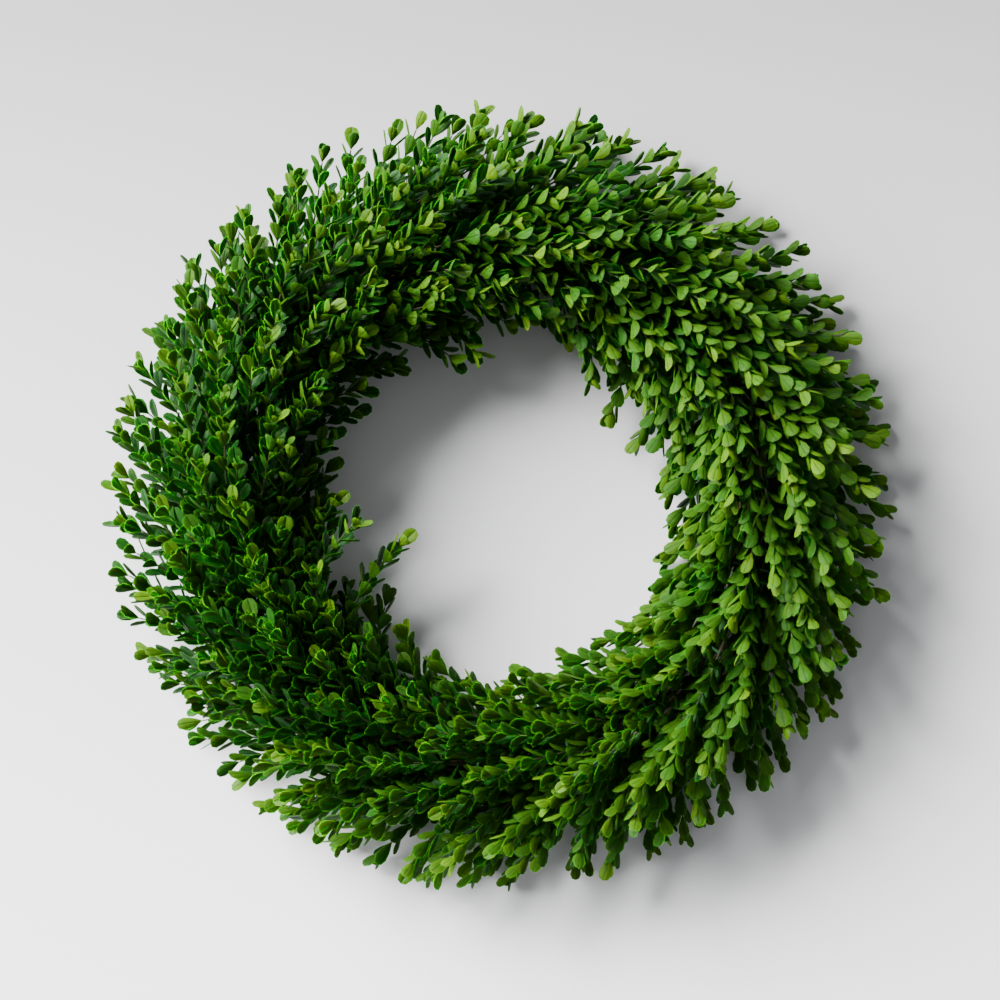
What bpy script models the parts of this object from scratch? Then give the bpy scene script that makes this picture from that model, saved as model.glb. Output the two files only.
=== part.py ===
"""A boxwood wreath, 0.56 m across, lying on its back with its leafy face up.

A welded wire frame of two rails carries eighteen clamp arches. Each arch holds three bunches
of box sprigs down on the rails: one to the outside, one on the face and one to the inside.
Every sprig sweeps clockwise over the bunch ahead of it, so the stems and clamps are covered.
The origin is under the middle of the wreath, where it rests. +Z is the way the face looks,
and +Y is its top when it is hung.
"""

import math
import random

import bmesh
import bpy
from mathutils import Matrix, Vector
from mathutils.bvhtree import BVHTree

# Driving dimensions, in metres
RING_RADIUS = 0.188  # centre line of the bound stems
RAIL_OFFSET = 0.019  # each rail from that centre line
RAIL_WIRE = 0.0016  # radius of the rail wire
RAIL_SEGMENTS = 24
RAIL_SIDES = 6  # with a flat one down
RAIL_SEAT = RAIL_WIRE * math.cos(math.pi / RAIL_SIDES)  # centre of the wire above that side
CLAMP_WIRE = 0.0011  # radius of the clamp wire
SEAT_GAP = 0.0003  # between pieces that touch

BUNDLE_HEIGHT = 0.029  # centre of a bound bundle above the surface
BUNDLE_ACROSS = 0.034  # half the bundles' width across the ring
BUNDLE_UP = 0.025  # their height above that centre
STATIONS = 18
ROWS = ("outer", "face", "inner")
# Corners of each row's bundle round the ring's section: shares of the width and of the height
ROW_CORNERS = {
    "outer": ((0, -1), (0.66, -1), (1, 0), (0.53, 0.85)),
    "face": ((0.53, 0.85), (-0.53, 0.85)),
    "inner": ((-0.53, 0.85), (-1, 0), (-0.66, -1), (0, -1)),
}
# Share of a station's length, and the bundle's size there; the second is the waist under the clamp
BUNDLE_PROFILE = ((0.0, 0.90), (0.25, 0.80), (0.60, 1.0), (1.0, 0.90))
CLAMP_SHARE = BUNDLE_PROFILE[1][0]
CLAMP_CLEARANCE = 0.00065  # of the clamp wire's surface over the waist

TIP_OUT = 0.074  # stem tips from the bundle's centre: away from the hole,
TIP_IN = 0.058  # towards the hole,
TIP_UP = 0.062  # and up
LIFT_CURVE = 1.3  # how late a stem bends away from the ring
SPRIGS_A_BUNCH = 2
SPRIGS_A_STATION = SPRIGS_A_BUNCH * len(ROWS)
SECTION_ENDS = (-8, 188)  # section angles of the first and last sprig of a station
ROOT_SHARES = (0.34, 0.62, 0.48)  # where stems leave the bundle, as shares of the station
REACHES = (0.064, 0.086, 0.075)  # how far along the ring their tips lie
ROOT_SINK = 0.62  # where a stem's root lies between its bundle's centre and its surface
STEM_WIDTH = 0.0024
AXIS_STEP = 0.02  # share of the stem over which its direction is measured
SEED = 21000
# How much one sprig differs from the next
SECTION_SCATTER = 6  # degrees
SHARE_SCATTER = 0.05
REACH_SCATTER = 0.005
TIP_SCATTER = (0.92, 1.06)
DRIFTS = (-20, -4)  # degrees that the last sprig of a station turns round the section
ROLL_SCATTER = 30  # degrees
RISE_SCATTER = 8  # degrees

LEAF_LENGTH = 0.031
LEAF_WIDTH = 0.019
LEAF_BASE = 0.0026  # length of stem that a leaf grows from
BLADE_THICKNESS = 0.0009
LEAF_FOLD = 0.32  # rise of each half of a leaf over its width
# Half of a leaf's outline: share of the length, share of the half width
LEAF_BULGE = (0.48, 1.0)
LEAF_TIP = (0.97, 0.30)
PAIR_SHARES = (0.36, 0.68)  # where the pairs of leaves grow, as shares of the stem
PAIR_TWIST = 62  # degrees that the stem turns from one pair to the next
LEAF_TILT = 44  # degrees between a leaf and its stem
LEAF_RISE = 14  # degrees that a pair of leaves rises from flat
LEAF_CLEARANCE = 0.0006
# Changes tried in turn where a leaf would cross another: tilt, rise, and share of the length
TRIES = ((0, 0, 1), (0, 22, 1), (0, -22, 1), (16, 0, 1), (-16, 0, 1), (-14, 30, 1), (-14, -30, 1),
         (10, 44, 0.9), (10, -44, 0.9), (-20, 0, 0.8), (0, 60, 0.8), (0, 0, 0.7))
# Changes tried in turn where a stem would cross another: degrees round the section, and share
# of its reach
SPRIG_TRIES = ((0, 1), (0, 0.93), (0, 1.07), (5, 1), (-5, 1), (9, 0.95), (-9, 0.95),
               (0, 0.86), (5, 0.86), (-5, 0.86), (0, 1.14), (5, 1.1), (-5, 1.1), (12, 1.07))
FLOOR = 0.0006  # nothing on a sprig lies lower than this


def clear_scene():
    for obj in list(bpy.data.objects):
        bpy.data.objects.remove(obj)


def material(name, colour, roughness, metallic=0.0):
    made = bpy.data.materials.new(name)
    made.use_nodes = True
    shader = made.node_tree.nodes["Principled BSDF"]
    shader.inputs["Base Color"].default_value = (*colour, 1)
    shader.inputs["Roughness"].default_value = roughness
    shader.inputs["Metallic"].default_value = metallic
    made.diffuse_color = (*colour, 1)
    return made


def mesh_object(name, bm, collection):
    mesh = bpy.data.meshes.new(name)
    bm.to_mesh(mesh)
    bm.free()
    obj = bpy.data.objects.new(name, mesh)
    collection.objects.link(obj)
    return obj


def joined(obj, others):
    """obj made one body with everything in the collection others, which is then removed."""
    union = obj.modifiers.new("Union", "BOOLEAN")
    union.operation = "UNION"
    union.operand_type = "COLLECTION"
    union.collection = others
    union.solver = "EXACT"
    graph = bpy.context.evaluated_depsgraph_get()
    mesh = bpy.data.meshes.new_from_object(obj.evaluated_get(graph))
    obj.modifiers.clear()
    obj.data = mesh
    mesh.name = obj.name
    for used in list(others.objects):
        bpy.data.objects.remove(used)
    bpy.data.collections.remove(others)
    return obj


def working_collection():
    made = bpy.data.collections.new("joining")
    bpy.context.scene.collection.children.link(made)
    return made


# Places round the ring


def ring_point(angle, across, height):
    """A point at a ring angle, so far outside the ring's centre line, and so high."""
    radius = RING_RADIUS + across
    return Vector((radius * math.cos(angle), radius * math.sin(angle), height))


def section_point(angle, section, distance):
    """A point at a distance from the bundles' centre, in the direction of a section angle."""
    across = distance * math.cos(section)
    return ring_point(angle, across, BUNDLE_HEIGHT + distance * math.sin(section))


def station_angle(station, share):
    """The ring angle at a share of a station's length. Stations run clockwise from the top."""
    return math.radians(90) - (station + share) * math.tau / STATIONS


def ellipse_reach(section, across, up):
    """Distance from the centre to an ellipse in the direction of a section angle."""
    return 1 / math.hypot(math.cos(section) / across, math.sin(section) / up)


# The wire frame


def rail(offset, collection):
    bpy.ops.mesh.primitive_torus_add(
        major_radius=RING_RADIUS + offset,
        minor_radius=RAIL_WIRE,
        major_segments=RAIL_SEGMENTS,
        minor_segments=RAIL_SIDES,
        location=(0, 0, RAIL_SEAT),
    )
    made = bpy.context.object
    made.data.transform(made.matrix_world)
    made.matrix_world = Matrix.Identity(4)
    for home in list(made.users_collection):
        home.objects.unlink(made)
    collection.objects.link(made)
    return made


def clamp_line(station):
    """The points of a clamp arch, from the outer rail over the waist to the inner rail."""
    angle = station_angle(station, CLAMP_SHARE)
    waist = BUNDLE_PROFILE[1][1]
    rise = CLAMP_WIRE + CLAMP_CLEARANCE
    across = BUNDLE_ACROSS * waist + rise
    up = BUNDLE_UP * waist + rise
    shoulder, bend = ROW_CORNERS["outer"][2:]
    arch = [
        ring_point(angle, side * wide * across, BUNDLE_HEIGHT + high * up)
        for side, (wide, high) in ((1, shoulder), (1, bend), (-1, bend), (-1, shoulder))
    ]
    feet = [ring_point(angle, side * RAIL_OFFSET, RAIL_WIRE) for side in (1, -1)]
    return [feet[0], *arch, feet[1]]


def clamps(collection):
    """All the clamp arches as one mesh of closed tubes."""
    curve = bpy.data.curves.new("clamps", "CURVE")
    curve.dimensions = "3D"
    curve.bevel_depth = CLAMP_WIRE
    curve.bevel_resolution = 0
    curve.use_fill_caps = True
    for station in range(STATIONS):
        line = clamp_line(station)
        spline = curve.splines.new("POLY")
        spline.points.add(len(line) - 1)
        for point, place in zip(spline.points, line):
            point.co = (*place, 1)
    tubes = bpy.data.objects.new("clamp_tubes", curve)
    collection.objects.link(tubes)
    graph = bpy.context.evaluated_depsgraph_get()
    mesh = bpy.data.meshes.new_from_object(tubes.evaluated_get(graph))
    bpy.data.objects.remove(tubes)
    bm = bmesh.new()
    bm.from_mesh(mesh)
    bmesh.ops.remove_doubles(bm, verts=bm.verts, dist=0.00001)
    bmesh.ops.recalc_face_normals(bm, faces=bm.faces)
    return mesh_object("clamps", bm, collection)


def wire_frame(collection, finish):
    parts = working_collection()
    rail(-RAIL_OFFSET, parts)
    clamps(parts)
    frame = rail(RAIL_OFFSET, collection)
    frame.name = "wire_frame"
    joined(frame, parts)
    frame.data.materials.clear()
    frame.data.materials.append(finish)
    frame.data.shade_smooth()
    frame.data.set_sharp_from_angle(angle=math.radians(50))
    return frame


# The bound bundles that the sprigs stand out of


def bundle_corners(row):
    """The section of a row's bundle, (across, height) about the bundles' centre, and the small
    shift that keeps it apart from the other bundles of its station."""
    under = BUNDLE_HEIGHT - 2 * RAIL_SEAT - SEAT_GAP
    corners = [(0, 0)]
    for wide, high in ROW_CORNERS[row]:
        corners.append((wide * BUNDLE_ACROSS, high * (BUNDLE_UP if high > 0 else under)))
    side = {"outer": 1, "face": 0, "inner": -1}[row]
    return corners, (side * SEAT_GAP / 2, 0 if side else SEAT_GAP / 2)


def bundle(station, row, collection):
    """A bunch's bound stems and inner leaves, as one lump with a waist under the clamp."""
    corners, (shift_across, shift_up) = bundle_corners(row)
    bm = bmesh.new()
    loops = []
    station_length = RING_RADIUS * math.tau / STATIONS
    inset = SEAT_GAP / 2 / station_length
    for share, size in BUNDLE_PROFILE:
        angle = station_angle(station, min(max(share, inset), 1 - inset))
        verts = [
            bm.verts.new(
                ring_point(
                    angle,
                    across * size + shift_across,
                    BUNDLE_HEIGHT + up * size + shift_up,
                )
            )
            for across, up in corners
        ]
        ends = zip(verts, verts[1:] + verts[:1])
        loops.append([bm.edges.new(pair) for pair in ends])
    for first, second in zip(loops, loops[1:]):
        bmesh.ops.bridge_loops(bm, edges=first + second)
    for end in (loops[0], loops[-1]):
        bmesh.ops.contextual_create(bm, geom=end)
    bmesh.ops.recalc_face_normals(bm, faces=bm.faces)
    return mesh_object(f"bundle_{row}_{station:02d}", bm, collection)


# Sprigs


class Sprig:
    """A stem's route: it leaves its bundle along the ring and bends away from it."""

    def __init__(self, station, index):
        self.owner = (station, index // SPRIGS_A_BUNCH)
        rng = random.Random(SEED + station * SPRIGS_A_STATION + index)
        first, last = SECTION_ENDS
        spacing = (last - first) / (SPRIGS_A_STATION - 1)
        scatter = rng.uniform(-SECTION_SCATTER, SECTION_SCATTER)
        degrees = first + spacing * index + scatter
        self.section = math.radians(degrees)
        turn = (index + station) % len(REACHES)
        share = ROOT_SHARES[turn]
        share += rng.uniform(-SHARE_SCATTER, SHARE_SCATTER)
        self.angle = station_angle(station, share)
        self.reach = REACHES[turn] + rng.uniform(-REACH_SCATTER, REACH_SCATTER)
        side = TIP_OUT if math.cos(self.section) > 0 else TIP_IN
        bundle_here = ellipse_reach(self.section, BUNDLE_ACROSS, BUNDLE_UP)
        self.root_lift = bundle_here * ROOT_SINK
        self.tip_lift = ellipse_reach(self.section, side, TIP_UP) * rng.uniform(*TIP_SCATTER)
        self.drift = math.radians(rng.uniform(*DRIFTS)) * index / (SPRIGS_A_STATION - 1)
        self.roll = math.radians(rng.uniform(-ROLL_SCATTER, ROLL_SCATTER) - PAIR_TWIST / 2)
        self.rises = [rng.uniform(-RISE_SCATTER, RISE_SCATTER) for _ in PAIR_SHARES]
        self.leaves = []

    def point(self, share):
        angle = self.angle - self.reach * share / RING_RADIUS
        bend = max(share, 0.0) ** LIFT_CURVE
        lift = self.root_lift + (self.tip_lift - self.root_lift) * bend
        return section_point(angle, self.section + self.drift * share, lift)

    def length(self):
        return (self.point(1) - self.point(0)).length

    def axes(self, share):
        """Forward along the stem, out of the blade's upper side, and sideways in the blade."""
        ahead, behind = self.point(share + AXIS_STEP), self.point(share - AXIS_STEP)
        forward = (ahead - behind).normalized()
        angle = self.angle - self.reach * share / RING_RADIUS
        outward = self.point(share) - section_point(angle, 0, 0)
        outward = (outward - outward.dot(forward) * forward).normalized()
        first, last = PAIR_SHARES
        turns = max(0.0, (share - first) / (last - first))
        turn = Matrix.Rotation(self.roll + turns * math.radians(PAIR_TWIST), 3, forward)
        outward = turn @ outward
        return forward, outward, forward.cross(outward)

    def edge_points(self, share):
        """The stem's two edges at a share of its length."""
        _, _, sideways = self.axes(share)
        return [self.point(share) + sideways * side * STEM_WIDTH / 2 for side in (1, -1)]

    def leaf_base(self, share):
        """The shares of the stem between which the leaves of a pair grow."""
        half = LEAF_BASE / 2 / self.length()
        return share - half, share + half

    def tip_leaf(self, change):
        """The outline of the leaf at the end of the stem, from one edge of it to the other."""
        _, rise, size = change
        forward, outward, sideways = self.axes(1.0)
        lean = Matrix.Rotation(math.radians(rise / 2), 3, sideways)
        along, upper = lean @ forward, lean @ outward
        return self.outline(self.edge_points(1.0), along, sideways, upper, size)

    def pair_leaf(self, pair, side, change):
        """The outline of one leaf of a pair, on the +1 or the -1 side of the stem."""
        tilt, rise, size = change
        share = PAIR_SHARES[pair]
        forward, outward, sideways = self.axes(share)
        raised = Matrix.Rotation(
            math.radians(LEAF_RISE + rise + self.rises[pair]) * side, 3, forward
        )
        out = raised @ sideways * side
        upper = raised @ outward
        lean = math.radians(LEAF_TILT + tilt)
        along = forward * math.cos(lean) + out * math.sin(lean)
        across = forward * math.sin(lean) - out * math.cos(lean)
        which = 0 if side > 0 else 1
        low, high = self.leaf_base(share)
        base = [self.edge_points(high)[which], self.edge_points(low)[which]]
        return self.outline(base, along, across, upper, size)

    @staticmethod
    def outline(base, along, across, upper, size):
        """Six points round a leaf: its base, then bulge and tip on each side of the midrib."""
        middle = (base[0] + base[1]) / 2
        points = []
        for reach, width in (LEAF_BULGE, LEAF_TIP):
            half = LEAF_WIDTH / 2 * width * math.sqrt(size)
            rise = LEAF_FOLD * (half - LEAF_WIDTH / 2 * LEAF_TIP[1] * size)
            for side in (1, -1):
                place = along * reach * LEAF_LENGTH * size + across * side * half
                points.append(middle + place + upper * rise)
        bulge_one, bulge_two, tip_one, tip_two = points
        return [base[0], bulge_one, tip_one, tip_two, bulge_two, base[1]]


# Corners of the triangles of a leaf: its midrib is the strip from the base to the tip
LEAF_TRIANGLES = ((0, 1, 2), (0, 2, 5), (5, 2, 3), (5, 3, 4))


def thick(points, triangles, thickness):
    """The verts and faces of triangles given a thickness, for testing what crosses."""
    count = len(points)
    half = count // 2
    upper = (points[half] - points[0]).cross(points[half + 1] - points[1]).normalized()
    shift = upper * thickness / 2
    verts = [point + shift for point in points] + [point - shift for point in points]
    faces = [list(corners) for corners in triangles]
    faces += [[corner + count for corner in corners] for corners in triangles]
    for first in range(count):
        second = (first + 1) % count
        faces.append([first, second, second + count, first + count])
    return verts, faces


def grown(points, margin):
    """The points moved outwards from their middle by a margin."""
    middle = sum(points, Vector()) / len(points)
    return [point + (point - middle).normalized() * margin for point in points]


class Room:
    """What is already placed, so that a new leaf can be bent clear of it."""

    def __init__(self):
        self.held = []

    @staticmethod
    def shape(verts, faces):
        low = Vector([min(vert[axis] for vert in verts) for axis in range(3)])
        high = Vector([max(vert[axis] for vert in verts) for axis in range(3)])
        return low, high, BVHTree.FromPolygons(verts, faces)

    def add(self, owner, verts, faces):
        self.held.append((owner, *self.shape(verts, faces)))

    def add_object(self, owner, obj):
        faces = [list(face.vertices) for face in obj.data.polygons]
        self.add(owner, [vert.co.copy() for vert in obj.data.vertices], faces)

    def crossed(self, verts, faces, owner):
        if min(vert.z for vert in verts) < FLOOR:
            return True
        low, high, tree = self.shape(verts, faces)
        for other_owner, other_low, other_high, other in self.held:
            if other_owner == owner:
                continue
            if any(low[i] > other_high[i] or other_low[i] > high[i] for i in range(3)):
                continue
            if tree.overlap(other):
                return True
        return False


def stem_shares(sprig):
    """Where the stem has an edge across it, from its root to its tip."""
    shares = [0.0]
    for pair in PAIR_SHARES:
        shares += sprig.leaf_base(pair)
    return shares + [1.0]


def stem_shape(sprig, thickness):
    """The verts and faces of a whole stem, for testing what crosses."""
    verts, faces = [], []
    shares = stem_shares(sprig)
    for low, high in zip(shares, shares[1:]):
        ends = [sprig.edge_points(low), sprig.edge_points(high)]
        quad = [ends[0][0], ends[1][0], ends[1][1], ends[0][1]]
        more, corners = thick(quad, ((0, 1, 2), (0, 2, 3)), thickness)
        faces += [[corner + len(verts) for corner in face] for face in corners]
        verts += more
    return verts, faces


def sprig_blade(sprig, leaves, collection):
    """A stem and its leaves as one blade, which twists from one pair to the next."""
    bm = bmesh.new()
    shares = stem_shares(sprig)
    lines = [[bm.verts.new(point) for point in sprig.edge_points(share)] for share in shares]
    for low, high in zip(lines, lines[1:]):
        bm.faces.new((low[0], high[0], high[1], low[1]))
    for which, outline in leaves:
        if which == "tip":
            base = lines[-1]
        else:
            pair, side = which
            edge = 0 if side > 0 else 1
            base = [lines[2 + 2 * pair][edge], lines[1 + 2 * pair][edge]]
        middle = [bm.verts.new(point) for point in outline[1:5]]
        corners = [base[0], *middle, base[1]]
        for triangle in LEAF_TRIANGLES:
            bm.faces.new([corners[corner] for corner in triangle])
    bmesh.ops.recalc_face_normals(bm, faces=bm.faces)
    bmesh.ops.triangulate(bm, faces=bm.faces)
    blade = mesh_object("sprig", bm, collection)
    solid = blade.modifiers.new("Thickness", "SOLIDIFY")
    solid.thickness = BLADE_THICKNESS
    solid.offset = 0
    return blade


def settle_stem(sprig, room):
    """Bends a stem until it crosses nothing of another bunch. False where it can't be."""
    section, lift = sprig.section, sprig.tip_lift
    owner = ("bunch", *sprig.owner)
    for turn, reach in SPRIG_TRIES:
        sprig.section = section + math.radians(turn)
        sprig.tip_lift = lift * reach
        verts, faces = stem_shape(sprig, BLADE_THICKNESS + 2 * LEAF_CLEARANCE)
        if not room.crossed(verts, faces, owner):
            room.add(owner, *stem_shape(sprig, BLADE_THICKNESS))
            return True
    return False


def settle_leaf(sprig, which, room):
    """The outline of a leaf that crosses nothing, or None."""
    owner = ("leaf", sprig)
    for change in TRIES:
        if which == "tip":
            outline = sprig.tip_leaf(change)
        else:
            outline = sprig.pair_leaf(*which, change)
        fat = BLADE_THICKNESS + 2 * LEAF_CLEARANCE
        verts, faces = thick(grown(outline, LEAF_CLEARANCE), LEAF_TRIANGLES, fat)
        if room.crossed(verts, faces, ("bunch", *sprig.owner)):
            continue
        room.add(owner, *thick(outline, LEAF_TRIANGLES, BLADE_THICKNESS))
        return outline
    return None


def build():
    clear_scene()
    wreath = bpy.data.collections.new("boxwood_wreath")
    bpy.context.scene.collection.children.link(wreath)
    green_wire = material("green wire enamel", (0.03, 0.10, 0.04), 0.45)
    box_leaf = material("box leaf", (0.10, 0.28, 0.03), 0.5)

    frame = wire_frame(wreath, green_wire)
    room = Room()
    room.add_object("frame", frame)

    bunches = {}
    for station in range(STATIONS):
        for row, name in enumerate(ROWS):
            lump = bundle(station, name, wreath)
            bunches[station, row] = (lump, working_collection())
            room.add_object(("bunch", station, row), lump)

    sprigs = []
    for station in range(STATIONS):
        inmost = SPRIGS_A_STATION - 1
        for index in range(SPRIGS_A_STATION):
            if index == inmost and station % 2:
                continue  # the hole's rim is shorter, so it has half as many
            sprig = Sprig(station, index)
            if settle_stem(sprig, room):
                sprigs.append(sprig)

    whiches = ["tip"]
    for pair in reversed(range(len(PAIR_SHARES))):
        whiches += [(pair, 1), (pair, -1)]
    for which in whiches:
        for sprig in sprigs:
            outline = settle_leaf(sprig, which, room)
            if outline:
                sprig.leaves.append((which, outline))

    for sprig in sprigs:
        sprig_blade(sprig, sprig.leaves, bunches[sprig.owner][1])
    for (station, row), (lump, parts) in bunches.items():
        lump.name = f"bunch_{ROWS[row]}_{station + 1:02d}"
        joined(lump, parts)
        lump.data.materials.clear()
        lump.data.materials.append(box_leaf)
    print(f"{sum(len(sprig.leaves) for sprig in sprigs)} leaves on {len(sprigs)} sprigs")


build()
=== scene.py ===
"""A boxwood wreath of preserved sprigs on a wire frame, lying with its leafy face up."""

import math
import random

import bmesh
import bpy
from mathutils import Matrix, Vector


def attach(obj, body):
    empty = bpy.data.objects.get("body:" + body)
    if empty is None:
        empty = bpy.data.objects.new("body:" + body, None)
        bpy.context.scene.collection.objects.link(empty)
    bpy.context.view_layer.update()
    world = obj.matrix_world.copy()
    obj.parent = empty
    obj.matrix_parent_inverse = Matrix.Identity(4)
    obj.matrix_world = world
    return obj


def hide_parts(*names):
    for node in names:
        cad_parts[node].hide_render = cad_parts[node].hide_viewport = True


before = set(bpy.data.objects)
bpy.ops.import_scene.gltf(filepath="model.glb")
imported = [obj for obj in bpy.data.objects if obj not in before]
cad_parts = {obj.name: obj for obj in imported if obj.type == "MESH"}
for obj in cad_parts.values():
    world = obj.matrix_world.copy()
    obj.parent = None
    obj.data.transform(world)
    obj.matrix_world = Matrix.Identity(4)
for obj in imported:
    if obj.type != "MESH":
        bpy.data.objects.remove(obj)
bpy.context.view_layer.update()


# The wire frame is two rings of drawn steel wire with eighteen clamp arches bent over the
# bunches. The arches' feet are welded on the rings, and the whole frame is dipped in dark
# green enamel, which is worn through in small spots.
RING_RADIUS = 0.188  # centre line of the bound stems, in metres
RAIL_OFFSET = 0.019  # of each rail from that line
RAIL_WIRE = 0.0016  # radius of the rails' wire
RAIL_POINTS = 144
CLAMP_WIRE = 0.0011  # and of the clamps'
CLAMP_POINTS = 40
WIRE_SIDES = 10
WELD_RADIUS = 0.0021
WELD_FLATTENING = 0.75
STATIONS = 18  # lengths of the ring, each with one clamp
BUNDLE_HEIGHT = 0.029  # of the bundle's centre over the table
BUNDLE_ACROSS = 0.034  # half its width
BUNDLE_UP = 0.025  # and half its height
WAIST = 0.80  # the bundle's size under a clamp
CLAMP_SHARE = 0.25  # where the clamp stands, as a share of the station
CLAMP_RISE = 0.00175  # of the clamp's centre line over the waist
CLAMP_FOOT = 1.2  # height of its feet, in radii of the rails' wire
CLAMP_CORNERS = ((1.0, 0.0), (0.53, 0.85), (-0.53, 0.85), (-1.0, 0.0))
ENAMEL = (0.022, 0.085, 0.030)
ENAMEL_LIGHTER = 2.1  # how much lighter its pale clouds are
ENAMEL_GLOSS = (0.26, 0.46)  # roughness
CLOUD_SCALE = 160
WEAR_SCALE = 420
WORN_STEEL = (0.23, 0.23, 0.21)
WORN_ABOVE = (0.66, 0.70)  # from unworn to bare steel
ENAMEL_RELIEF = 0.0002


def ring_point(angle, across, height):
    """A point at a ring angle, so far outside the ring's centre line, and so high."""
    radius = RING_RADIUS + across
    return Vector((radius * math.cos(angle), radius * math.sin(angle), height))


def station_angle(station, share):
    """The ring angle at a share of a station's length. Stations run clockwise from the top."""
    return math.radians(90) - (station + share) * math.tau / STATIONS


def add(tree, kind, inputs=(), **settings):
    """A node with its settings. Inputs map a socket's name or number to a value or a socket."""
    node = tree.nodes.new(kind)
    for name, value in settings.items():
        setattr(node, name, value)
    for key, value in dict(inputs).items():
        if isinstance(value, bpy.types.NodeSocket):
            tree.links.new(value, node.inputs[key])
        else:
            node.inputs[key].default_value = value
    return node


def calc(tree, operation, *values):
    """The number that a Math node gives."""
    return add(tree, "ShaderNodeMath", enumerate(values), operation=operation).outputs[0]


def ramp(tree, value, *limits):
    """A value mapped from the first two limits to the last two, and kept between them."""
    names = ("From Min", "From Max", "To Min", "To Max")
    return add(tree, "ShaderNodeMapRange", {"Value": value, **dict(zip(names, limits))}).outputs[0]


def mixed(tree, share, first, second):
    """One colour turned to another by a share."""
    ends = [(*end, 1) if isinstance(end, tuple) else end for end in (first, second)]
    inputs = {0: share, 6: ends[0], 7: ends[1]}
    return add(tree, "ShaderNodeMix", inputs, data_type="RGBA").outputs[2]


def noise(tree, place, scale, detail):
    """The number that a noise gives at each place."""
    inputs = {"Vector": place, "Scale": scale, "Detail": detail}
    return add(tree, "ShaderNodeTexNoise", inputs).outputs[0]


def new_material(name):
    """A material, its tree and its shader."""
    material = bpy.data.materials.new(name)
    material.use_nodes = True
    tree = material.node_tree
    return material, tree, tree.nodes["Principled BSDF"]


def relieve(tree, shader, height, strength, distance):
    """Give a shader's surface the relief of a height."""
    inputs = {"Height": height, "Strength": strength, "Distance": distance}
    bump = add(tree, "ShaderNodeBump", inputs)
    tree.links.new(bump.outputs[0], shader.inputs["Normal"])


def new_tree(name, sockets):
    """A Geometry Nodes tree with named inputs, and its input and output sockets."""
    tree = bpy.data.node_groups.new(name, "GeometryNodeTree")
    for label, kind in {"Geometry": "Geometry", **sockets}.items():
        tree.interface.new_socket(label, in_out="INPUT", socket_type=f"NodeSocket{kind}")
    tree.interface.new_socket("Geometry", in_out="OUTPUT", socket_type="NodeSocketGeometry")
    given = tree.nodes.new("NodeGroupInput").outputs
    return tree, given, tree.nodes.new("NodeGroupOutput").inputs


def line_mesh(name, lines):
    """A mesh of open lines, and of closed ones where a line ends on its first point."""
    points, edges = [], []
    for line in lines:
        closed = line[0] == line[-1]
        kept = line[:-1] if closed else line
        first = len(points)
        points += kept
        edges += [(first + i, first + i + 1) for i in range(len(kept) - 1)]
        if closed:
            edges.append((first + len(kept) - 1, first))
    mesh = bpy.data.meshes.new(name)
    mesh.from_pydata(points, edges, [])
    return mesh


def grown(name, lines, tree, values):
    """The piece that a tree makes of lines, as a plain mesh object."""
    source = bpy.data.objects.new(name, line_mesh(name, lines))
    bpy.context.collection.objects.link(source)
    modifier = source.modifiers.new(tree.name, "NODES")
    modifier.node_group = tree
    for item in tree.interface.items_tree:
        if item.in_out == "INPUT" and item.name in values:
            modifier[item.identifier] = values[item.name]
    graph = bpy.context.evaluated_depsgraph_get()
    mesh = bpy.data.meshes.new_from_object(source.evaluated_get(graph), depsgraph=graph)
    source.modifiers.clear()
    plain = source.data
    source.data = mesh
    mesh.name = name
    bpy.data.meshes.remove(plain)
    return source


def wire_tree():
    """Round wire along lines, with a weld bead on each open end."""
    tree, given, result = new_tree("bent wire", {
        "Wire radius": "Float", "Points": "Int", "Bead radius": "Float", "Finish": "Material",
    })
    line = add(tree, "GeometryNodeMeshToCurve", {0: given["Geometry"]}).outputs[0]
    smooth = add(tree, "GeometryNodeCurveSplineType", {"Curve": line}, spline_type="NURBS")
    even = add(tree, "GeometryNodeResampleCurve", {
        "Curve": smooth.outputs[0], "Count": given["Points"],
    }, mode="COUNT").outputs[0]
    round_wire = add(tree, "GeometryNodeCurvePrimitiveCircle", {
        "Resolution": WIRE_SIDES, "Radius": 1.0,
    })
    wire = add(tree, "GeometryNodeCurveToMesh", {
        "Curve": even, "Profile Curve": round_wire.outputs[0], "Scale": given["Wire radius"],
        "Fill Caps": True,
    }).outputs[0]
    bead = add(tree, "GeometryNodeMeshUVSphere", {
        "Segments": 12, "Rings": 8, "Radius": given["Bead radius"],
    }).outputs[0]
    ends = add(tree, "GeometryNodeCurveEndpointSelection").outputs[0]
    beads = add(tree, "GeometryNodeInstanceOnPoints", {
        "Points": even, "Selection": ends, "Instance": bead, "Scale": (1.0, 1.0, WELD_FLATTENING),
    }).outputs[0]
    both = add(tree, "GeometryNodeJoinGeometry")
    for part in (wire, beads):
        tree.links.new(part, both.inputs[0])
    real = add(tree, "GeometryNodeRealizeInstances", {0: both.outputs[0]}).outputs[0]
    shaded = add(tree, "GeometryNodeSetShadeSmooth", {0: real}).outputs[0]
    finished = add(tree, "GeometryNodeSetMaterial", {
        "Geometry": shaded, "Material": given["Finish"],
    }).outputs[0]
    tree.links.new(finished, result[0])
    return tree


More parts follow.
